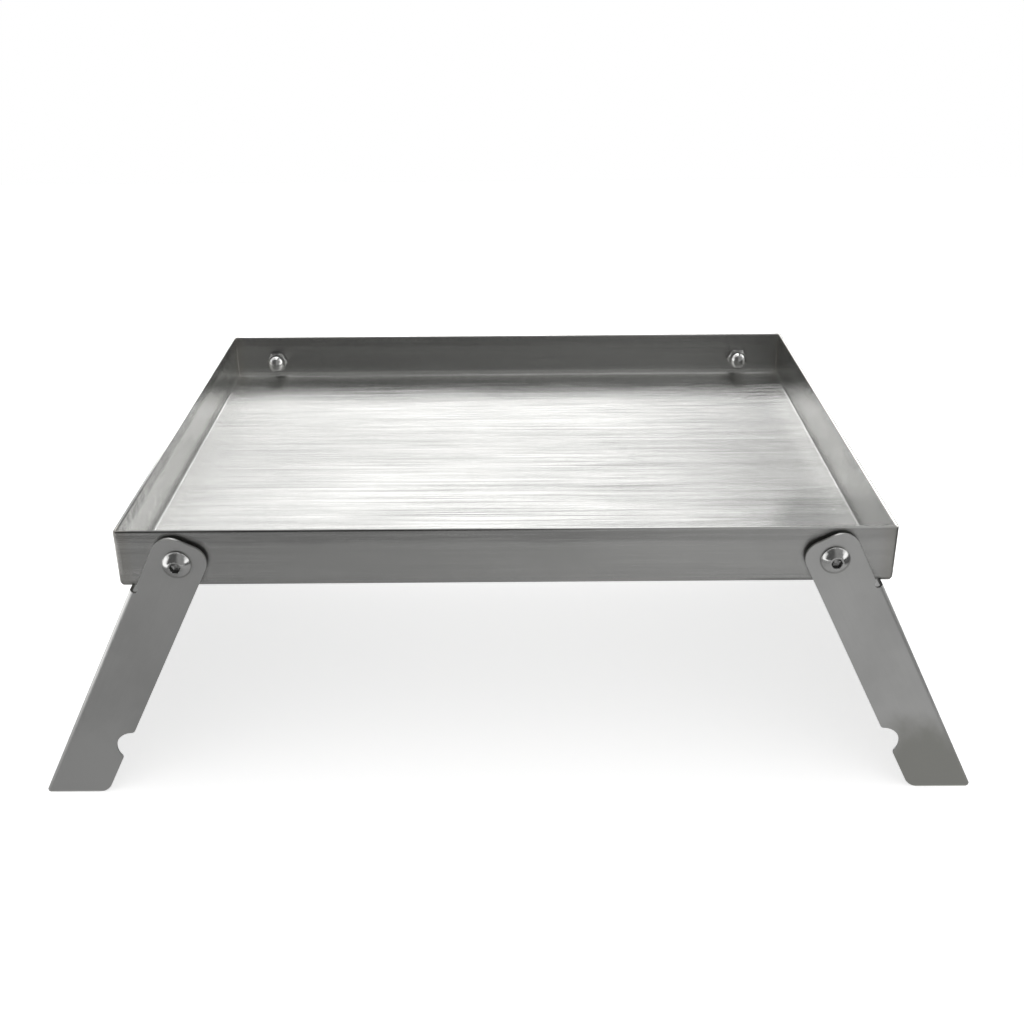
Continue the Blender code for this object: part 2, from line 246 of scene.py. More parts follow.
def grid(points, closed=False, flip=False):
    """The points of a grid of rows and columns, and its four-sided faces. A closed grid joins its
    last column to its first."""
    rows, columns = points.shape[:2]
    index = np.arange(rows * columns).reshape(rows, columns)
    if closed:
        index = np.hstack([index, index[:, :1]])
    faces = np.stack([index[:-1, :-1], index[:-1, 1:], index[1:, 1:], index[1:, :-1]], axis=-1)
    faces = faces.reshape(-1, 4)
    return points.reshape(-1, points.shape[-1]), faces[:, ::-1] if flip else faces


def piece(name, parts, materials, solid):
    """An object from parts, each an array of (x, y, z, u, v) rows with its faces. Points that meet
    are joined, and a solid's faces are turned outwards. The last two columns become the UV map."""
    points = np.vstack([part[0] for part in parts])
    faces = []
    first = 0
    for part_points, part_faces in parts:
        faces += [[first + corner for corner in face] for face in np.asarray(part_faces).tolist()]
        first += len(part_points)
    mesh = bpy.data.meshes.new(name)
    mesh.from_pydata(points[:, :3].tolist(), [], faces)
    corners = np.zeros(len(mesh.loops), int)
    mesh.loops.foreach_get("vertex_index", corners)
    mesh.uv_layers.new(name=BLANK_MAP)
    mesh.uv_layers[BLANK_MAP].uv.foreach_set("vector", points[corners, 3:].ravel())
    bm = bmesh.new()
    bm.from_mesh(mesh)
    bmesh.ops.remove_doubles(bm, verts=bm.verts, dist=WELD)
    if solid:
        bmesh.ops.recalc_face_normals(bm, faces=bm.faces)
    bm.to_mesh(mesh)
    bm.free()
    mesh.shade_smooth()
    mesh.set_sharp_from_angle(angle=SMOOTH_ANGLE)
    for material in materials:
        mesh.materials.append(material)
    obj = bpy.data.objects.new(name, mesh)
    bpy.context.scene.collection.objects.link(obj)
    return obj


# Tray


def tray_section(sizes, band):
    """The tray's wall in section, as (inset from the outer face, height above the underside): a
    quarter circle round the outer bend, straight up, over the rounded rim, straight down, and a
    quarter circle into the floor. The band is the pair of heights that frame the pivot holes."""
    wall = TRAY_HIGH.z - TRAY_LOW.z
    outer = sizes.bend + sizes.sheet
    rim = sizes.rim_round
    bend = wave(0, 90, 9)
    edge = wave(0, 90, 5)
    rise = np.column_stack([outer * (1 - np.sin(bend)), outer * (1 - np.cos(bend))])
    rim_out = np.column_stack([rim * (1 - np.cos(edge)), wall - rim * (1 - np.sin(edge))])
    rim_in = np.column_stack([sizes.sheet - rim * (1 - np.sin(edge)), wall - rim * (1 - np.cos(edge))])
    drop = sizes.sheet + sizes.bend * np.column_stack([1 - np.cos(bend), 1 - np.sin(bend)])
    levels = np.array([outer + GUARD, *band, wall - rim - GUARD])
    wall_out = np.column_stack([np.zeros(4), levels])
    wall_in = np.column_stack([np.full(4, sizes.sheet), levels[::-1]])
    underside = [(outer + GUARD, 0)]
    floor = [(outer + GUARD, sizes.sheet)]
    return np.vstack([underside, rise, wall_out, rim_out, rim_in, wall_in, drop, floor])


def tray_perimeter(half_width):
    """The columns of the tray's grid, anticlockwise: a quarter circle at each corner, and on the
    front and back walls a pair of columns on both sides of each pivot. Guard columns close to each
    corner keep the walls' shading flat. Each is (share of the half length, share of the half depth,
    outward X, outward Y, shift in X, shift in Y)."""
    columns = []
    outer, inner = PIVOT_X + half_width, PIVOT_X - half_width
    beside = np.array([outer, inner, -inner, -outer])
    for quarter, (sign_x, sign_y) in enumerate(((1, 1), (-1, 1), (-1, -1), (1, -1))):
        turn = wave(90 * quarter, 90 * quarter + 90, 7)[[0, *range(7), 6]]
        shift = np.zeros(len(turn))
        shift[[0, -1]] = -GUARD, GUARD
        out = np.column_stack([np.cos(turn), np.sin(turn)])
        on = np.column_stack([-out[:, 1] * shift, out[:, 0] * shift])
        columns.append(np.column_stack([np.full(len(turn), sign_x), np.full(len(turn), sign_y), out, on]))
        if quarter in (0, 2):
            none = np.zeros(len(beside))
            along = beside if quarter == 0 else beside[::-1]
            columns.append(np.column_stack([none, none + sign_y, none, none + sign_y, along, none]))
    return np.vstack(columns)


def tray_grid(sizes, section, perimeter):
    """Each point is its corner's centre plus the corner's radius times the outward direction. The
    blank's flat place is the point pushed outwards by its height, as if unfolded."""
    size = TRAY_HIGH - TRAY_LOW
    inset, height = section[:, :1], section[:, 1:]
    radius = np.maximum(sizes.corner - inset, sizes.inner_corner)
    share_x, share_y, out_x, out_y, shift_x, shift_y = perimeter.T
    x = share_x * (size.x / 2 - inset - radius) + radius * out_x + shift_x
    y = share_y * (size.y / 2 - inset - radius) + radius * out_y + shift_y
    z = TRAY_LOW.z + height + 0 * x
    return np.stack([x, y, z, x + height * out_x, y + height * out_y], axis=-1)


def holed_cell(centre, across, up, half, radius, blank):
    """Four faces that fill a flat cell round a hole: each takes one side of the cell and a quarter
    of the circle. Returns the cell's part and the circle."""
    turn = wave(225, 585, HOLE_POINTS + 1)[:-1]
    corner_turn = wave(225, 495, 4)
    reach = half * math.sqrt(2)
    corners = centre + reach * (np.cos(corner_turn)[:, None] * across + np.sin(corner_turn)[:, None] * up)
    circle = centre + radius * (np.cos(turn)[:, None] * across + np.sin(turn)[:, None] * up)
    quarter = len(turn) // 4
    faces = []
    for side in range(4):
        edge = [4 + (side * quarter + step) % len(turn) for step in range(quarter, -1, -1)]
        faces.append([side, (side + 1) % 4, *edge])
    points = np.vstack([corners, circle])
    return np.hstack([points, blank(points)]), faces, circle


def tray_parts(sizes):
    """The tray's grid with its pivot cells cut open, the cells with their holes, the holes' walls,
    and the flat floor and underside. A hole's inner circle runs the other way round from its outer
    one, so its points are taken backwards from the one that lies opposite the first."""
    middle = PIVOT_Z - TRAY_LOW.z
    section = tray_section(sizes, (middle - PIVOT_CELL, middle + PIVOT_CELL))
    perimeter = tray_perimeter(PIVOT_CELL)
    points = tray_grid(sizes, section, perimeter)
    flat, faces = grid(points, closed=True)
    row = np.repeat(np.arange(len(section) - 1), len(perimeter))
    column = np.tile(np.arange(len(perimeter)), len(section) - 1)
    centre_x = (points[row, column, 0] + points[row, (column + 1) % len(perimeter), 0]) / 2
    level = (section[row, 1] + section[row + 1, 1]) / 2
    on_wall = (np.abs(level - middle) < WELD) & (perimeter[column, 0] == 0)
    pivot_cell = on_wall & (np.abs(np.abs(centre_x) - PIVOT_X) < PIVOT_CELL / 2)
    parts = [(flat, faces[~pivot_cell])]
    count = len(perimeter)
    last = len(flat) - count
    parts.append((flat, [list(range(count))[::-1], list(range(last, last + count))]))
    for x in (-PIVOT_X, PIVOT_X):
        for side in ENDS.values():
            across = np.array([-side, 0.0, 0.0])
            rings = []
            for inset, up in ((0.0, 1.0), (sizes.sheet, -1.0)):
                centre = np.array([x, side * (TRAY_HIGH.y - inset), PIVOT_Z])

                def unfolded(p, side=side):
                    return np.column_stack([p[:, 0], p[:, 1] + side * (p[:, 2] - TRAY_LOW.z)])

                cell, cell_faces, circle = holed_cell(
                    centre, across, np.array([0.0, 0.0, up]), PIVOT_CELL, sizes.pivot_hole, unfolded
                )
                parts.append((cell, cell_faces))
                rings.append(np.hstack([circle, unfolded(circle)]))
            matching = (3 * HOLE_POINTS // 4 - np.arange(HOLE_POINTS)) % HOLE_POINTS
            parts.append(grid(np.stack([rings[1][matching], rings[0]]), closed=True))
    return parts


# Legs


def leg_length_at(inward, sizes):
    """How far along the leg the floor is: the pivot's height less the inward distance times the
    splay's sine, over its cosine."""
    return (PIVOT_Z - sizes.foot_gap - inward * math.sin(sizes.splay)) / math.cos(sizes.splay)


def leg_lines(sizes):
    """The leg's main lines: the web's outer face and the bend line, both outward of the pivot, and
    the web's top edge along the leg."""
    rise = PIVOT_Z - TRAY_LOW.z
    web = rise + sizes.web_gap + sizes.sheet
    bend_line = web - sizes.bend - sizes.sheet
    top = (rise + sizes.web_gap + web * math.sin(sizes.splay)) / math.cos(sizes.splay)
    return web, bend_line, top


def hook_edge(sizes):
    """The notch in the arm's free edge: an arc whose centre is beyond the edge, met on both sides
    by a lip's arc that touches it and the edge."""
    beyond = sizes.hook_radius - sizes.hook_depth
    across = beyond + sizes.hook_lip
    along = math.sqrt((sizes.hook_radius + sizes.hook_lip) ** 2 - across**2)
    opening = math.degrees(math.atan2(along, across))
    edge = sizes.reach_inward
    upper = arc((edge - sizes.hook_lip, sizes.hook_along - along), sizes.hook_lip, wave(0, opening, 6))
    notch = arc((edge + beyond, sizes.hook_along), sizes.hook_radius, wave(180 + opening, 180 - opening, 22))
    lower = arc((edge - sizes.hook_lip, sizes.hook_along + along), sizes.hook_lip, wave(-opening, 0, 6))
    return np.vstack([upper, notch[1:-1], lower])


def arm_rows(sizes, web_top, bend_line):
    """Both ends of the rows that rule the arm below the web's top: the free edge with its hook and
    rounded toe, and the bend line. The rows lean over to lie along the floor at the foot."""
    edge = sizes.reach_inward
    heel = (-bend_line, leg_length_at(-bend_line, sizes))
    toe = (edge, leg_length_at(edge, sizes))
    hook = hook_edge(sizes)
    straight = np.column_stack([np.full(12, edge), np.linspace(web_top, hook[0, 1], 12)])
    toe_round = fillet(hook[-1], toe, heel, sizes.foot_round, 12)
    below = np.column_stack([np.full(3, edge), np.linspace(hook[-1, 1], toe_round[0, 1], 5)[1:-1]])
    free = np.vstack([straight[:-1], hook, below, toe_round])
    start = len(straight) - 1 + len(hook) - 1
    run = np.concatenate([[0], np.cumsum(np.linalg.norm(np.diff(free[start:], axis=0), axis=1))])
    along = free[:, 1].copy()
    along[start:] += (run / run[-1]) * (heel[1] - free[-1, 1])
    held = np.column_stack([np.full(len(free), -bend_line), along])
    return free, held


def leg_place(inward, across, along, blank_across, sizes):
    """Points of the left leg in the stand's frame: the leg's own axes turned by the splay about the
    pivot. The blank's flat place is the distance along the leg and across the unfolded sheet."""
    sine, cosine = math.sin(sizes.splay), math.cos(sizes.splay)
    inward, across, along, blank_across = np.broadcast_arrays(inward, across, along, blank_across)
    x = -PIVOT_X - along * sine + inward * cosine
    z = PIVOT_Z - along * cosine - inward * sine
    return np.stack([x, across, z, along, blank_across], axis=-1)


def arm_head(sizes, bend_line, split, columns):
    """A ring round the pivot hole: each spoke runs from the hole to the head's outline at the same
    angle. Returns the two rows as (inward, along)."""
    edge, reach = sizes.reach_inward, sizes.head_reach
    outer = fillet((-bend_line, split), (-bend_line, -reach), (edge, -reach), sizes.head_round, 14)
    inner = fillet((-bend_line, -reach), (edge, -reach), (edge, split), sizes.head_round, 14)
    left = np.column_stack([np.full(8, -bend_line), np.linspace(split, outer[0, 1], 9)[:-1]])
    right = np.column_stack([np.full(8, edge), np.linspace(inner[-1, 1], split, 9)[1:]])
    bottom = np.column_stack([np.linspace(edge, -bend_line, columns)[1:-1], np.full(columns - 2, split)])
    outline = np.vstack([left, outer, inner, right, bottom])
    turn = np.arctan2(outline[:, 1], outline[:, 0])
    return np.stack([arc((0, 0), sizes.pivot_hole, turn), outline])


def leg_parts(sizes):
    """The left leg's outer skin: two arm heads, the arms down to the web's top, and one strip that
    runs from the front arm's free edge round both bends and the web to the back arm's."""
    web, bend_line, web_top = leg_lines(sizes)
    outer_bend = sizes.bend + sizes.sheet
    face = TRAY_HIGH.y + sizes.arm_gap + sizes.sheet
    half_web = face - outer_bend
    arm_blank = half_web + outer_bend * math.pi / 2
    split = sizes.reach_inward
    columns = 9
    parts = []

    out, rise, radius = sizes.relief_out, sizes.relief_rise, sizes.relief_radius
    turn = np.linspace(-math.acos(out / radius), math.asin(rise / radius), 9)
    relief = arc((-bend_line - out, web_top - rise), radius, turn)
    relief[-1] = (-bend_line, web_top)
    upper_held = np.vstack([[(-bend_line, split)], relief])
    across = np.linspace(0, 1, columns)
    upper = (
        sizes.reach_inward + (upper_held[:, :1] - sizes.reach_inward) * across,
        upper_held[:, 1:] + 0 * across,
    )
    free, held = arm_rows(sizes, web_top, bend_line)
    lower = (
        free[:, :1] + (held[:, :1] - free[:, :1]) * across,
        free[:, 1:] + (held[:, 1:] - free[:, 1:]) * across,
    )
    head = arm_head(sizes, bend_line, split, columns)

    for side in ENDS.values():
        for inward, along in (upper, lower):
            blank = side * (arm_blank + bend_line + inward)
            parts.append(grid(leg_place(inward, side * face, along, blank, sizes), flip=side > 0))
        blank = side * (arm_blank + bend_line + head[..., 0])
        ring = leg_place(head[..., 0], side * face, head[..., 1], blank, sizes)
        parts.append(grid(ring, closed=True, flip=side > 0))

    bend = wave(0, 90, 9)
    y = half_web + outer_bend * np.cos(bend)
    inward = -bend_line - outer_bend * np.sin(bend)
    blank = half_web + outer_bend * (math.pi / 2 - bend)
    web_y = np.linspace(-half_web, half_web, 15)[1:-1]
    strip_y = np.concatenate([-y, web_y, y[::-1]])
    strip_inward = np.concatenate([inward, np.full(len(web_y), -web), inward[::-1]])
    strip_blank = np.concatenate([-blank, web_y, blank[::-1]])
    parts.append(grid(leg_place(strip_inward, strip_y, held[:, 1:], strip_blank, sizes)))
    return parts


def mirrored(parts):
    """The same parts on the other side of the stand's middle, with their faces turned round."""
    flip = np.array([-1, 1, 1, 1, 1])
    return [(points * flip, [list(face)[::-1] for face in faces]) for points, faces in parts]


# Pivot fasteners


def turned(profile, reach, columns=96):
    """A profile of (radius, height) carried round the axis: the radius times the cosine and sine of
    the angle. reach works out the radius at each angle from the profile's."""
    turn = np.linspace(0, math.tau, columns, endpoint=False)
    radius = reach(profile[:, :1], turn)
    height = profile[:, 1:] + 0 * turn
    return np.stack([radius * np.cos(turn), radius * np.sin(turn), height], axis=-1)


def hexagon_reach(width, turn):
    """The distance to a hexagon's side at each angle: half its width over the cosine of the angle
    from the nearest side's middle."""
    return width / 2 / np.cos(turn % (math.pi / 3) - math.pi / 6)


def plain_reach(radius, turn):
    """A round profile keeps its radius at every angle."""
    return radius + 0 * turn


def on_pivot(points, x, end, outward):
    """Places a turned piece on a pivot: its axis along Y, and its zero height this far outside the
    tray's wall. The UV map holds the distance from the axis and the height along it."""
    across, up, height = np.moveaxis(points, -1, 0)
    y = end * (TRAY_HIGH.y + outward + height)
    return np.stack([x + across, y, PIVOT_Z + up, np.hypot(across, up), height], axis=-1)


def screw_points(sizes, shank):
    """A button head over a plain shank: the six-sided socket, the flat, a spherical dome through
    the flat's edge and the rim, and the shank with its chamfer."""
    height, rim, flat = sizes.head_height, sizes.head_rim, sizes.head_flat
    centre = (height**2 + flat**2 - rim**2 - sizes.head_radius**2) / (2 * (height - rim))
    ball = math.hypot(sizes.head_radius, rim - centre)
    low = math.degrees(math.atan2(rim - centre, sizes.head_radius))
    high = math.degrees(math.atan2(height - centre, flat))
    fine = sizes.fine_round
    key = sizes.socket / 2
    socket = [
        (0, height - sizes.socket_depth - key / 2),
        (key, height - sizes.socket_depth),
        (key, height - 2 * fine),
        (key + fine, height - fine / 2),
    ]
    flat_top = [(key + 3 * fine, height), (flat - fine, height)]
    side = [(sizes.head_radius, fine), (sizes.head_radius - fine, 0)]
    stem = [
        (sizes.shank_radius, 0),
        (sizes.shank_radius, sizes.shank_chamfer - shank),
        (sizes.shank_radius - sizes.shank_chamfer, -shank),
        (0, -shank),
    ]
    dome = arc((0, centre), ball, wave(high, low, 16))
    profile = np.vstack([socket, flat_top, dome, side, stem])

    def reach(radius, turn):
        keyed = np.arange(len(profile))[:, None] < len(socket)
        return np.where(keyed, radius * hexagon_reach(2.0, turn), radius)

    return turned(profile, reach)


def nut_points(sizes):
    """A cap nut: a hexagon cut by a shallow cone at both faces, then a step and a half-round dome,
    with a blind bore. The radius is the lesser of the hexagon's and the cone's."""
    seat = sizes.nut_width / 2
    corner = seat / math.cos(math.pi / 6)
    cone_slope = math.tan(math.radians(60))
    past_cone = 1.15 * (corner - seat) / cone_slope
    dome_step, dome_edge = 0.00025, 0.0001
    dome = seat - dome_step
    base = sizes.nut_height - dome
    levels = np.linspace(0, past_cone, 9)
    levels = np.concatenate([levels, sizes.nut_hex - levels[::-1]])
    from_face = np.minimum(levels, sizes.nut_hex - levels)
    cone = seat + from_face * cone_slope
    hexagon = np.column_stack([np.minimum(cone, corner), -levels])
    bore = [
        (0, -sizes.nut_bore_depth - sizes.nut_bore_point),
        (sizes.nut_bore, -sizes.nut_bore_depth),
        (sizes.nut_bore, -sizes.fine_round),
        (sizes.nut_bore + sizes.fine_round, 0),
    ]
    step = [(dome + dome_edge, -sizes.nut_hex), (dome, -sizes.nut_hex - dome_edge)]
    profile = np.vstack([bore, hexagon, step, arc((0, -base), dome, wave(0, -90, 16))])

    def reach(radius, turn):
        return np.minimum(radius, hexagon_reach(sizes.nut_width, turn))

    return turned(profile, reach)


def washer_points(sizes):
    """A flat ring with its edges broken."""
    bore, outer = sizes.washer_bore, sizes.washer_radius
    thick, fine = sizes.washer_sheet, sizes.fine_round
    profile = np.array([
        (bore, -fine), (bore + fine, 0), (outer - fine, 0), (outer, -fine),
        (outer, fine - thick), (outer - fine, -thick), (bore + fine, -thick), (bore, fine - thick),
        (bore, -fine),
    ])
    return turned(profile, plain_reach)


# Finishes


class Sock:
    """A socket in a material's maths. Each operator adds the Math node that it stands for."""

    def __init__(self, recipe, socket):
        self.recipe = recipe
        self.socket = socket

    def _math(self, operation, *values):
        return self.recipe.node("ShaderNodeMath", {"operation": operation}, dict(enumerate(values)))

    def __add__(self, other):
        return self._math("ADD", self, other)

    def __sub__(self, other):
        return self._math("SUBTRACT", self, other)

    def __rsub__(self, other):
        return self._math("SUBTRACT", other, self)

    def __mul__(self, other):
        return self._math("MULTIPLY", self, other)

    def __abs__(self):
        return self._math("ABSOLUTE", self)

    def __pow__(self, other):
        return self._math("POWER", self, other)

    __radd__ = __add__


class Recipe:
    """Adds nodes to one material or world."""

    def __init__(self, owner):
        owner.use_nodes = True
        self.tree = owner.node_tree
        self.tree.nodes.clear()

    def node(self, kind, settings=None, sockets=None, output=0):
        """Adds a node: its settings come first, because they decide which sockets it has."""
        node = self.tree.nodes.new(kind)
        for name, setting in (settings or {}).items():
            setattr(node, name, setting)
        for key, value in (sockets or {}).items():
            if isinstance(value, Sock):
                self.tree.links.new(value.socket, node.inputs[key])
            else:
                node.inputs[key].default_value = value
        return Sock(self, node.outputs[output]) if len(node.outputs) else None

    def blank(self):
        """The piece's place on its flat blank, in metres."""
        return self.node("ShaderNodeUVMap", {"uv_map": BLANK_MAP})

    def place(self):
        """The place on the piece in the stand's frame, in metres."""
        return self.node("ShaderNodeTexCoord", output="Object")

    def axes(self, vector, names):
        """The named axes of a vector."""
        return [self.node("ShaderNodeSeparateXYZ", None, {0: vector}, output=name) for name in names]

    def seen(self):
        """1 for camera, mirror and glass rays, and 0 for all others."""
        rays = ("Is Camera Ray", "Is Glossy Ray", "Is Transmission Ray")
        camera, glossy, glass = (self.node("ShaderNodeLightPath", output=ray) for ray in rays)
        sockets = {0: camera + glossy + glass, 1: 1.0}
        return self.node("ShaderNodeMath", {"operation": "MINIMUM"}, sockets)

    def noise(self, vector, scale, detail=2.0, roughness=0.5):
        """Noise from 0 to 1 over a vector, with a scale per metre for each of its axes."""
        scaled_vector = self.node("ShaderNodeVectorMath", {"operation": "MULTIPLY"}, {0: vector, 1: scale})
        sockets = {"Vector": scaled_vector, "Scale": 1.0, "Detail": detail, "Roughness": roughness}
        return self.node("ShaderNodeTexNoise", {"noise_dimensions": "3D"}, sockets)

    def ramp(self, value, low, high, start=0.0, end=1.0):
        """A smooth rise from start to end while the value goes from low to high."""
        settings = {"interpolation_type": "SMOOTHSTEP", "clamp": True}
        sockets = {"Value": value, "From Min": low, "From Max": high, "To Min": start, "To Max": end}
        return self.node("ShaderNodeMapRange", settings, sockets)

    def blend(self, share_of_second, first, second):
        """A mix of two colours. The node has its colours at sockets 6 and 7, and gives its colour
        at 2."""
        colours = [value if isinstance(value, Sock) else (*value, 1.0) for value in (first, second)]
        sockets = {0: share_of_second, 6: colours[0], 7: colours[1]}
        return self.node("ShaderNodeMix", {"data_type": "RGBA"}, sockets, output=2)

    def toned(self, shade, base, tones):
        """A colour blended in turn towards the base colour times a number, each by its own mask."""
        for mask, factor in tones:
            shade = self.blend(mask, shade, scaled(base, factor))
        return shade

    def steel(self, base, roughness, normal):
        """The metal shader and the material's output."""
        sockets = {"Base Color": base, "Metallic": 1.0, "Roughness": roughness, "Normal": normal}
        shader = self.node("ShaderNodeBsdfPrincipled", None, sockets)
        self.node("ShaderNodeOutputMaterial", None, {"Surface": shader})

    def bump(self, height, distance):
        """A height from 0 to 1, times a distance in metres, as a change of the normal."""
        sockets = {"Strength": 1.0, "Distance": distance, "Height": height}
        return self.node("ShaderNodeBump", None, sockets)

    def glow(self, kind, level):
        """A white emission or background of a given strength."""
        return self.node(kind, None, {"Color": WHITE, "Strength": level})


def scaled(shade, factor):
    """A colour times a number."""
    return tuple(channel * factor for channel in shade)


def tray_finish(colours, sheet):
    """Brushed sheet: fine lines along the blank, broad dull bands, and a heat tint by each weld.
    Some tones go by place and stand in for reflections that the lamps don't give: the light back
    and the dark right front of the floor, the light left wall, the darker back wall, the rim in
    two tones and the dark band under the rim."""
    material = bpy.data.materials.new("tray_brushed_sheet")
    recipe = Recipe(material)
    blank = recipe.blank()
    fine = recipe.noise(blank, (8.0, 12000.0, 1.0), 1.0)
    lines = recipe.noise(blank, (9.0, 420.0, 1.0), 4.0, 0.6)
    bands = recipe.noise(blank, (9.0, 60.0, 1.0))
    cloud = recipe.noise(blank, (28.0, 34.0, 1.0), 3.0)
    streaks = recipe.noise(blank, (26.0, 640.0, 1.0), 4.0, 0.6)
    x, y, z = recipe.axes(recipe.place(), "XYZ")

    from_end = TRAY_HIGH.x - abs(x)
    from_side = TRAY_HIGH.y - abs(y)
    from_corner = (from_end * from_end + from_side * from_side) ** 0.5
    weld = recipe.ramp(from_corner + (cloud - 0.5) * 0.006, 0.0010, 0.0065, 1.0, 0.0)

    floor, rim = TRAY_LOW.z + sheet, TRAY_HIGH.z
    inner_x, inner_y = TRAY_HIGH.x - sheet, TRAY_HIGH.y - sheet
    below_rim = recipe.ramp(z + (cloud - 0.5) * 0.003, rim - 0.0055, rim - 0.0035)
    # Painted shade: a streaked darker band under the rim all round, weaker at the right end.
    painted_shade_under_rim = below_rim * recipe.ramp(x, 0.02, 0.10, 1.0, 0.35) * recipe.ramp(streaks, 0.30, 0.62, 0.3, 1.0)
    floor_back = recipe.ramp(y, 0.0, 0.09) * recipe.ramp(z, floor + 0.0013, floor + 0.0028, 0.8, 0.0)
    right_front = recipe.ramp(x - y * 0.35, 0.108, 0.122) * recipe.ramp(y, -0.052, -0.012, 1.0, 0.0)
    on_floor = recipe.ramp(z, floor + 0.0001, floor + 0.0009, 0.6, 0.0)
    on_wall = recipe.ramp(z, floor + 0.0018, floor + 0.0048)
    left_wall = on_wall * recipe.ramp(x, 0.0002 - inner_x, 0.0008 - inner_x, 0.8, 0.0)
    back_wall = on_wall * recipe.ramp(y, inner_y - 0.0008, inner_y - 0.0002, 0.0, 0.6)

    base = tuple(colours.tray_steel)
    shade = recipe.blend(recipe.ramp(lines, 0.3, 0.7), scaled(base, 0.96), scaled(base, 1.03))
    shade = recipe.toned(shade, base, (
        (recipe.ramp(cloud, 0.35, 0.7, 0.0, 0.5), 0.86),
        (recipe.ramp(bands, 0.35, 0.65, 0.0, 0.5), 0.88),
        (floor_back, 1.45),
        (right_front * on_floor, 0.36),
        (left_wall, 1.4),
        (back_wall, 0.72),
        (painted_shade_under_rim * 0.8, 0.62),
    ))
    # The rim in two tones: painted shade at the left front and a painted highlight elsewhere.
    painted_rim_shade_share = recipe.ramp(x, -0.02, 0.10, 1.0, 0.0) * recipe.ramp(y, -0.08, 0.0, 1.0, 0.0)
    painted_rim_tone = recipe.blend(painted_rim_shade_share, scaled(base, 1.6), scaled(base, 0.35))
    shade = recipe.blend(recipe.ramp(z, rim - 0.0007, rim - 0.0004), shade, painted_rim_tone)
    shade = recipe.blend(weld * 0.3, shade, tuple(colours.weld_tint))
    rough = colours.tray_roughness + (lines - 0.5) * 0.04 + (bands - 0.5) * 0.06 + weld * 0.03
    relief = fine * recipe.ramp(z, floor + 0.0018, floor + 0.0058, 1.0, 0.5)
    recipe.steel(shade, rough, recipe.bump(relief, colours.brushing))
    return material


def leg_finish(colours, name, base, extra_roughness, painted_foot_tone):
    """Satin sheet: faint lines along the leg, soft clouding, and a painted tone on the front arm's
    foot that stands in for the floor's reflection there."""
    material = bpy.data.materials.new(name)
    recipe = Recipe(material)
    blank = recipe.blank()
    lines = recipe.noise(blank, (14.0, 1500.0, 1.0), 3.0, 0.6)
    grain = recipe.noise(blank, (5200.0, 5200.0, 1.0))
    cloud = recipe.noise(blank, (28.0, 42.0, 1.0), 4.0, 0.6)
    y, z = recipe.axes(recipe.place(), "YZ")
    arm_outside, arm_inside = -0.1018, -0.1008
    foot_low, foot_high = 0.013, 0.030
    grain_height = 0.000008

    shade = recipe.blend(recipe.ramp(lines, 0.3, 0.7), scaled(base, 0.99), scaled(base, 1.01))
    shade = recipe.toned(shade, base, [(recipe.ramp(cloud, 0.35, 0.7, 0.0, 0.7), 0.88)])
    # Painted light or shade on the front arm's foot, in the tone that the caller gives.
    on_front_arm = recipe.ramp(y, arm_outside, arm_inside, 1.0, 0.0)
    foot = recipe.ramp(z + (cloud - 0.5) * 0.04, foot_low, foot_high, 1.0, 0.0) * on_front_arm
    shade = recipe.blend(foot, shade, painted_foot_tone)
    rough = colours.leg_roughness + extra_roughness + (cloud - 0.5) * 0.12 + (lines - 0.5) * 0.02
    recipe.steel(shade, rough, recipe.bump(grain * 0.85 + lines * 0.15, grain_height))
    return material


def fastener_finish(colours):
    """Bright steel with turning marks round the axis, a slight clouding and painted shade in the key socket.
    """
    material = bpy.data.materials.new("bright_fastener")
    recipe = Recipe(material)
    blank = recipe.blank()
    rings = recipe.noise(blank, (9000.0, 9000.0, 1.0))
    cloud = recipe.noise(recipe.place(), (420.0, 420.0, 420.0), 3.0)
    from_axis, height = recipe.axes(blank, "XY")
    socket_inside, socket_outside = 0.0017, 0.0019
    head_base, head_above = 0.0, 0.0005
    ring_height = 0.000003

    # Painted shade in the key socket, a recess of the head.
    painted_socket_shade = recipe.ramp(from_axis, socket_inside, socket_outside, 1.0, 0.0)
    on_head = recipe.ramp(height, head_base, head_above)
    base = tuple(colours.bright_steel)
    shade = recipe.toned(base, base, (
        (recipe.ramp(cloud, 0.35, 0.75, 0.0, 0.6), 0.80),
        (painted_socket_shade * on_head * 0.6, 0.25),
    ))
    rough = colours.bright_roughness + (cloud - 0.5) * 0.14 + (rings - 0.5) * 0.05
    recipe.steel(shade, rough, recipe.bump(rings, ring_height))
    return material


# Studio


def stage_sheet(name, corners, material, seen_by_camera=True):
    """A flat sheet between four corners that isn't part of the stand. One that the camera doesn't
    see is there for reflections alone."""
    mesh = bpy.data.meshes.new(name)
    mesh.from_pydata(corners, [], [(0, 1, 2, 3)])
    mesh.materials.append(material)
    obj = bpy.data.objects.new(name, mesh)
    bpy.context.scene.collection.objects.link(obj)
    obj.visible_camera = seen_by_camera
    obj.visible_shadow = seen_by_camera
    obj.visible_diffuse = seen_by_camera


def rectangle(low, high):
    """The four corners of a rectangle between two opposite corners. Two of its sides run along X,
    or along Y where both corners have the same X."""
    if low[0] == high[0]:
        return [low, (low[0], high[1], low[2]), high, (low[0], low[1], high[2])]
    return [low, (high[0], low[1], low[2]), high, (low[0], high[1], high[2])]


def floor_material(studio):
    """A pale matt floor that also glows a little for camera, mirror and glass rays alike."""
    material = bpy.data.materials.new("pale_floor")
    recipe = Recipe(material)
    matt = recipe.node("ShaderNodeBsdfDiffuse", None, {"Color": (*studio.floor, 1.0)})
    glow = recipe.glow("ShaderNodeEmission", recipe.seen() * studio.floor_glow)
    both = recipe.node("ShaderNodeAddShader", None, {0: matt, 1: glow})
    recipe.node("ShaderNodeOutputMaterial", None, {"Surface": both})
    return material


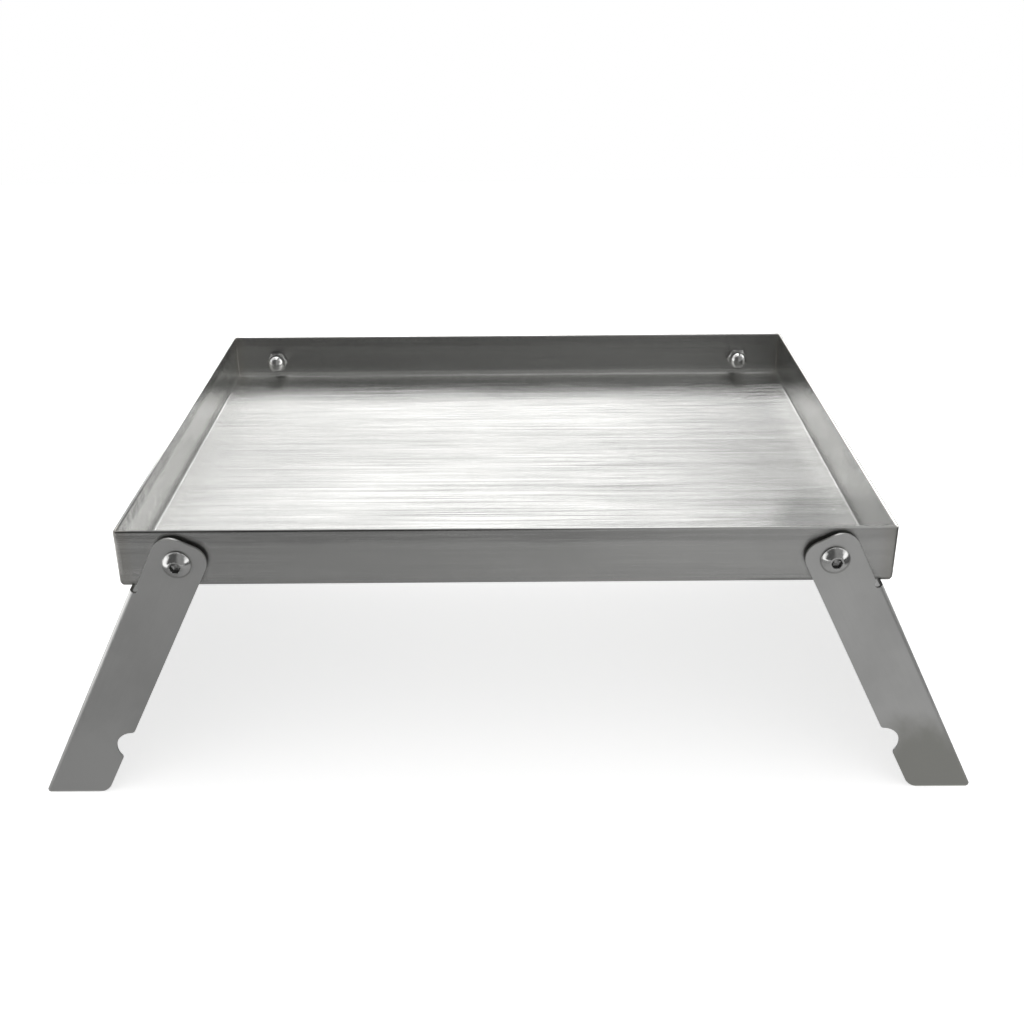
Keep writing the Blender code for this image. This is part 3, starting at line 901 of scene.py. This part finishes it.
def glow_material(name, stops):
    """A glow whose brightness goes smoothly from stop to stop, each an X and a brightness."""
    material = bpy.data.materials.new(name)
    recipe = Recipe(material)
    [x] = recipe.axes(recipe.place(), "X")
    level = stops[0][1]
    for (low, before), (high, after) in zip(stops, stops[1:]):
        level = level + recipe.ramp(x, low, high, 0.0, after - before)
    recipe.node("ShaderNodeOutputMaterial", None, {"Surface": recipe.glow("ShaderNodeEmission", level)})
    return material


def mirror_card(name, corners, *stops):
    """A glowing card for the steel to mirror. The camera and matt surfaces don't see it."""
    stage_sheet(name, corners, glow_material(name, stops), seen_by_camera=False)


def soft_lamp(name, place, aim, width, height, brightness):
    """A rectangular soft lamp of a given brightness, turned towards a point and never mirrored."""
    lamp = bpy.data.lights.new(name, "AREA")
    lamp.shape = "RECTANGLE"
    lamp.size = width
    lamp.size_y = height
    lamp.energy = brightness * math.pi * width * height
    obj = bpy.data.objects.new(name, lamp)
    bpy.context.scene.collection.objects.link(obj)
    obj.location = place
    obj.rotation_euler = (Vector(aim) - Vector(place)).to_track_quat("-Z", "Y").to_euler()
    obj.visible_glossy = False


def set_world(studio):
    """White for what looks at it straight, in a mirror or through glass, and a plain even light."""
    world = bpy.data.worlds.new("studio")
    bpy.context.scene.world = world
    recipe = Recipe(world)
    level = recipe.seen() * (1.0 - studio.sky) + studio.sky
    recipe.node("ShaderNodeOutputWorld", None, {"Surface": recipe.glow("ShaderNodeBackground", level)})


def set_camera(studio):
    """The camera stands at its place, turned by yaw, pitch and roll in that order."""
    lens = bpy.data.cameras.new("camera")
    lens.lens = studio.lens
    lens.sensor_width = 36.0
    lens.clip_start = 0.01
    camera = bpy.data.objects.new("camera", lens)
    bpy.context.scene.collection.objects.link(camera)
    turn = (
        Matrix.Rotation(studio.yaw, 4, "Z")
        @ Matrix.Rotation(math.pi / 2 - studio.pitch, 4, "X")
        @ Matrix.Rotation(-studio.roll, 4, "Z")
    )
    camera.matrix_world = Matrix.Translation(studio.place) @ turn
    bpy.context.scene.camera = camera


# Operators


class StandOperator:
    """What the operators share."""

    bl_options = {"REGISTER", "UNDO"}

    def finished(self, obj, body, node, slot):
        """Ties a piece to its body and hides the node that it stands for. The slot is not used."""
        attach(obj, body)
        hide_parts(node)


class STAND_OT_tray(StandOperator, Operator):
    """Makes the folded tray with its welded corners and pivot holes"""

    bl_idname = "stand.tray"
    bl_label = "Make Tray"

    def execute(self, context):
        sizes = context.scene.stand_tray
        finish = tray_finish(context.scene.stand_finish, sizes.sheet)
        tray = piece("tray_sheet", tray_parts(sizes), [finish], solid=True)
        self.finished(tray, "stand_top", "tray", "sheet")
        return {"FINISHED"}


class STAND_OT_legs(StandOperator, Operator):
    """Makes both folded legs with their hook notches and relief holes"""

    bl_idname = "stand.legs"
    bl_label = "Make Legs"

    def execute(self, context):
        sizes = context.scene.stand_leg
        colours = context.scene.stand_finish
        steel, cut, right_foot_shade = tuple(colours.leg_steel), tuple(colours.cut_edge), tuple(colours.shaded_foot)
        left = leg_parts(sizes)
        # Painted light on the left leg's foot; painted shade on the right leg's foot and on both front arms'
        # cut edges at the foot.
        for name, parts, painted_foot_tone in (("left", left, scaled(steel, 1.1)), ("right", mirrored(left), right_foot_shade)):
            materials = [
                leg_finish(colours, f"{name}_leg_satin_sheet", steel, 0.0, painted_foot_tone),
                leg_finish(colours, f"{name}_leg_cut_edge", cut, 0.04, scaled(cut, 0.9)),
            ]
            leg = piece(f"{name}_leg_sheet", parts, materials, solid=False)
            wall = leg.modifiers.new("wall", "SOLIDIFY")
            wall.thickness = sizes.sheet
            wall.offset = -1.0
            wall.use_even_offset = True
            wall.material_offset_rim = 1
            edge = leg.modifiers.new("edge", "BEVEL")
            edge.width = sizes.edge_round
            edge.segments = 2
            edge.limit_method = "ANGLE"
            edge.angle_limit = math.radians(50)
            edge.harden_normals = True
            self.finished(leg, f"{name}_leg", f"{name}_leg", "sheet")
        return {"FINISHED"}


class STAND_OT_fasteners(StandOperator, Operator):
    """Makes the screw, spacer washer and cap nut of each of the four pivots"""

    bl_idname = "stand.fasteners"
    bl_label = "Make Pivot Fasteners"

    def execute(self, context):
        sizes = context.scene.stand_fastener
        leg = context.scene.stand_leg
        tray = context.scene.stand_tray
        finish = fastener_finish(context.scene.stand_finish)
        seat = leg.arm_gap + leg.sheet + sizes.seat_gap
        nut_seat = -tray.sheet - sizes.seat_gap
        low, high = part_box("front_left_pivot_screw")
        shank = high.y - low.y - sizes.head_height
        made = {
            "pivot_screw": (screw_points(sizes, shank), seat),
            "spacer_washer": (washer_points(sizes), sizes.seat_gap + sizes.washer_sheet),
            "cap_nut": (nut_points(sizes), nut_seat),
        }
        for end, end_sign in ENDS.items():
            for side, side_sign in SIDES.items():
                for kind, (points, outward) in made.items():
                    node = f"{end}_{side}_{kind}"
                    placed = on_pivot(points, side_sign * PIVOT_X, end_sign, outward)
                    obj = piece(f"{node}_bright", [grid(placed, closed=True)], [finish], solid=True)
                    self.finished(obj, "stand_top", node, "fastener")
        return {"FINISHED"}


class STAND_OT_stage(StandOperator, Operator):
    """Sets the floor, the lamps, the world and the camera"""

    bl_idname = "stand.stage"
    bl_label = "Set Stage"

    def execute(self, context):
        studio = context.scene.stand_studio
        floor_edge, over_floor = 0.95, 0.0004
        corners = rectangle((-floor_edge, -floor_edge, 0.0), (floor_edge, floor_edge, 0.0))
        stage_sheet("floor", corners, floor_material(studio))

        wide, aside, behind = 1.2, 1.15, 1.15
        room_wide, room_front, room_high = 2.2, -1.1, 1.8
        lamp_low, lamp_high = 0.62, 1.90
        mirror_card(
            "sheet_in_front", rectangle((-wide, -0.8, over_floor), (wide, 0.3, over_floor)),
            (-0.40, studio.left_lamp), (-0.28, studio.sheet_left),
            (0.22, studio.sheet_right), (0.30, studio.shade),
        )
        left, right = (-0.30, studio.room_left), (0.30, studio.room_right)
        room = rectangle((-room_wide, room_front, 0.0), (room_wide, room_front, room_high))
        ceiling = rectangle((-room_wide, room_front, room_high), (room_wide, -0.1, room_high))
        mirror_card("room_in_front", room, left, right)
        mirror_card("room_ceiling", ceiling, left, right)
        for name, low, high, level in (
            ("shade_low", (aside, -1.1, 0.0), (aside, 0.2, 0.12), studio.shade),
            ("right_back_lamp", (aside, 0.2, 0.0), (aside, 1.3, 1.2), 1.6 * studio.right_lamp),
            ("right_lamp", (aside, -0.9, 0.15), (aside, 0.1, 0.60), studio.right_lamp),
            ("left_lamp", (-aside, -0.4, -0.1), (-aside, 0.4, 0.60), studio.left_lamp),
        ):
            mirror_card(name, rectangle(low, high), (0.0, level))
        shares = (
            (-0.46, 0.4), (-0.34, 0.74), (-0.17, 0.75), (-0.03, 1.12), (0.12, 0.88),
            (0.26, 0.90), (0.31, 0.80), (0.37, 0.05), (0.80, 0.05), (0.95, 0.5),
        )
        stops = [(x, share_here * studio.back_lamp) for x, share_here in shares]
        dimmer = [(x, level / 2) for x, level in stops]
        back_lamp = rectangle((-wide, behind, lamp_low), (wide, behind, lamp_high))
        over_lamp = rectangle((-wide, 0.0, lamp_high + 0.01), (wide, behind, lamp_high + 0.01))
        low_wall = rectangle((-wide, behind + 0.01, 0.0), (wide, behind + 0.01, lamp_low))
        mirror_card("back_lamp", back_lamp, *stops)
        mirror_card("over_lamp", over_lamp, *dimmer)
        mirror_card("back_wall", low_wall, (0.31, studio.back_wall), (0.37, studio.shade))
        soft_lamp("top_lamp", (0.0, 0.45, 1.1), (0.0, 0.0, 0.09), 1.1, 0.8, studio.top_lamp)
        set_world(studio)
        set_camera(studio)
        context.scene.view_settings.view_transform = "Standard"
        return {"FINISHED"}


class STAND_PT_panel(Panel):
    """Lists the stand's sizes, finishes and operators."""

    bl_label = "Stove Stand"
    bl_space_type = "VIEW_3D"
    bl_region_type = "UI"
    bl_category = "Stove Stand"

    def draw(self, context):
        for operator in OPERATORS:
            self.layout.operator(operator.bl_idname)
        for group_name in SETTINGS:
            box = self.layout.box()
            group = getattr(context.scene, group_name)
            for prop in group.bl_rna.properties:
                if prop.identifier not in ("rna_type", "name"):
                    box.prop(group, prop.identifier)


SETTINGS = {
    "stand_tray": TraySizes,
    "stand_leg": LegSizes,
    "stand_fastener": FastenerSizes,
    "stand_finish": FinishColours,
    "stand_studio": StudioSettings,
}
OPERATORS = (STAND_OT_tray, STAND_OT_legs, STAND_OT_fasteners, STAND_OT_stage)
CLASSES = (*SETTINGS.values(), *OPERATORS, STAND_PT_panel)


def register():
    for cls in CLASSES:
        bpy.utils.register_class(cls)
    for name, group in SETTINGS.items():
        setattr(bpy.types.Scene, name, PointerProperty(type=group))


def unregister():
    for name in SETTINGS:
        delattr(bpy.types.Scene, name)
    for cls in reversed(CLASSES):
        bpy.utils.unregister_class(cls)


def main():
    """Makes the stand and its stage."""
    register()
    bpy.ops.stand.tray()
    bpy.ops.stand.legs()
    bpy.ops.stand.fasteners()
    bpy.ops.stand.stage()


if __name__ == "__main__":
    main()
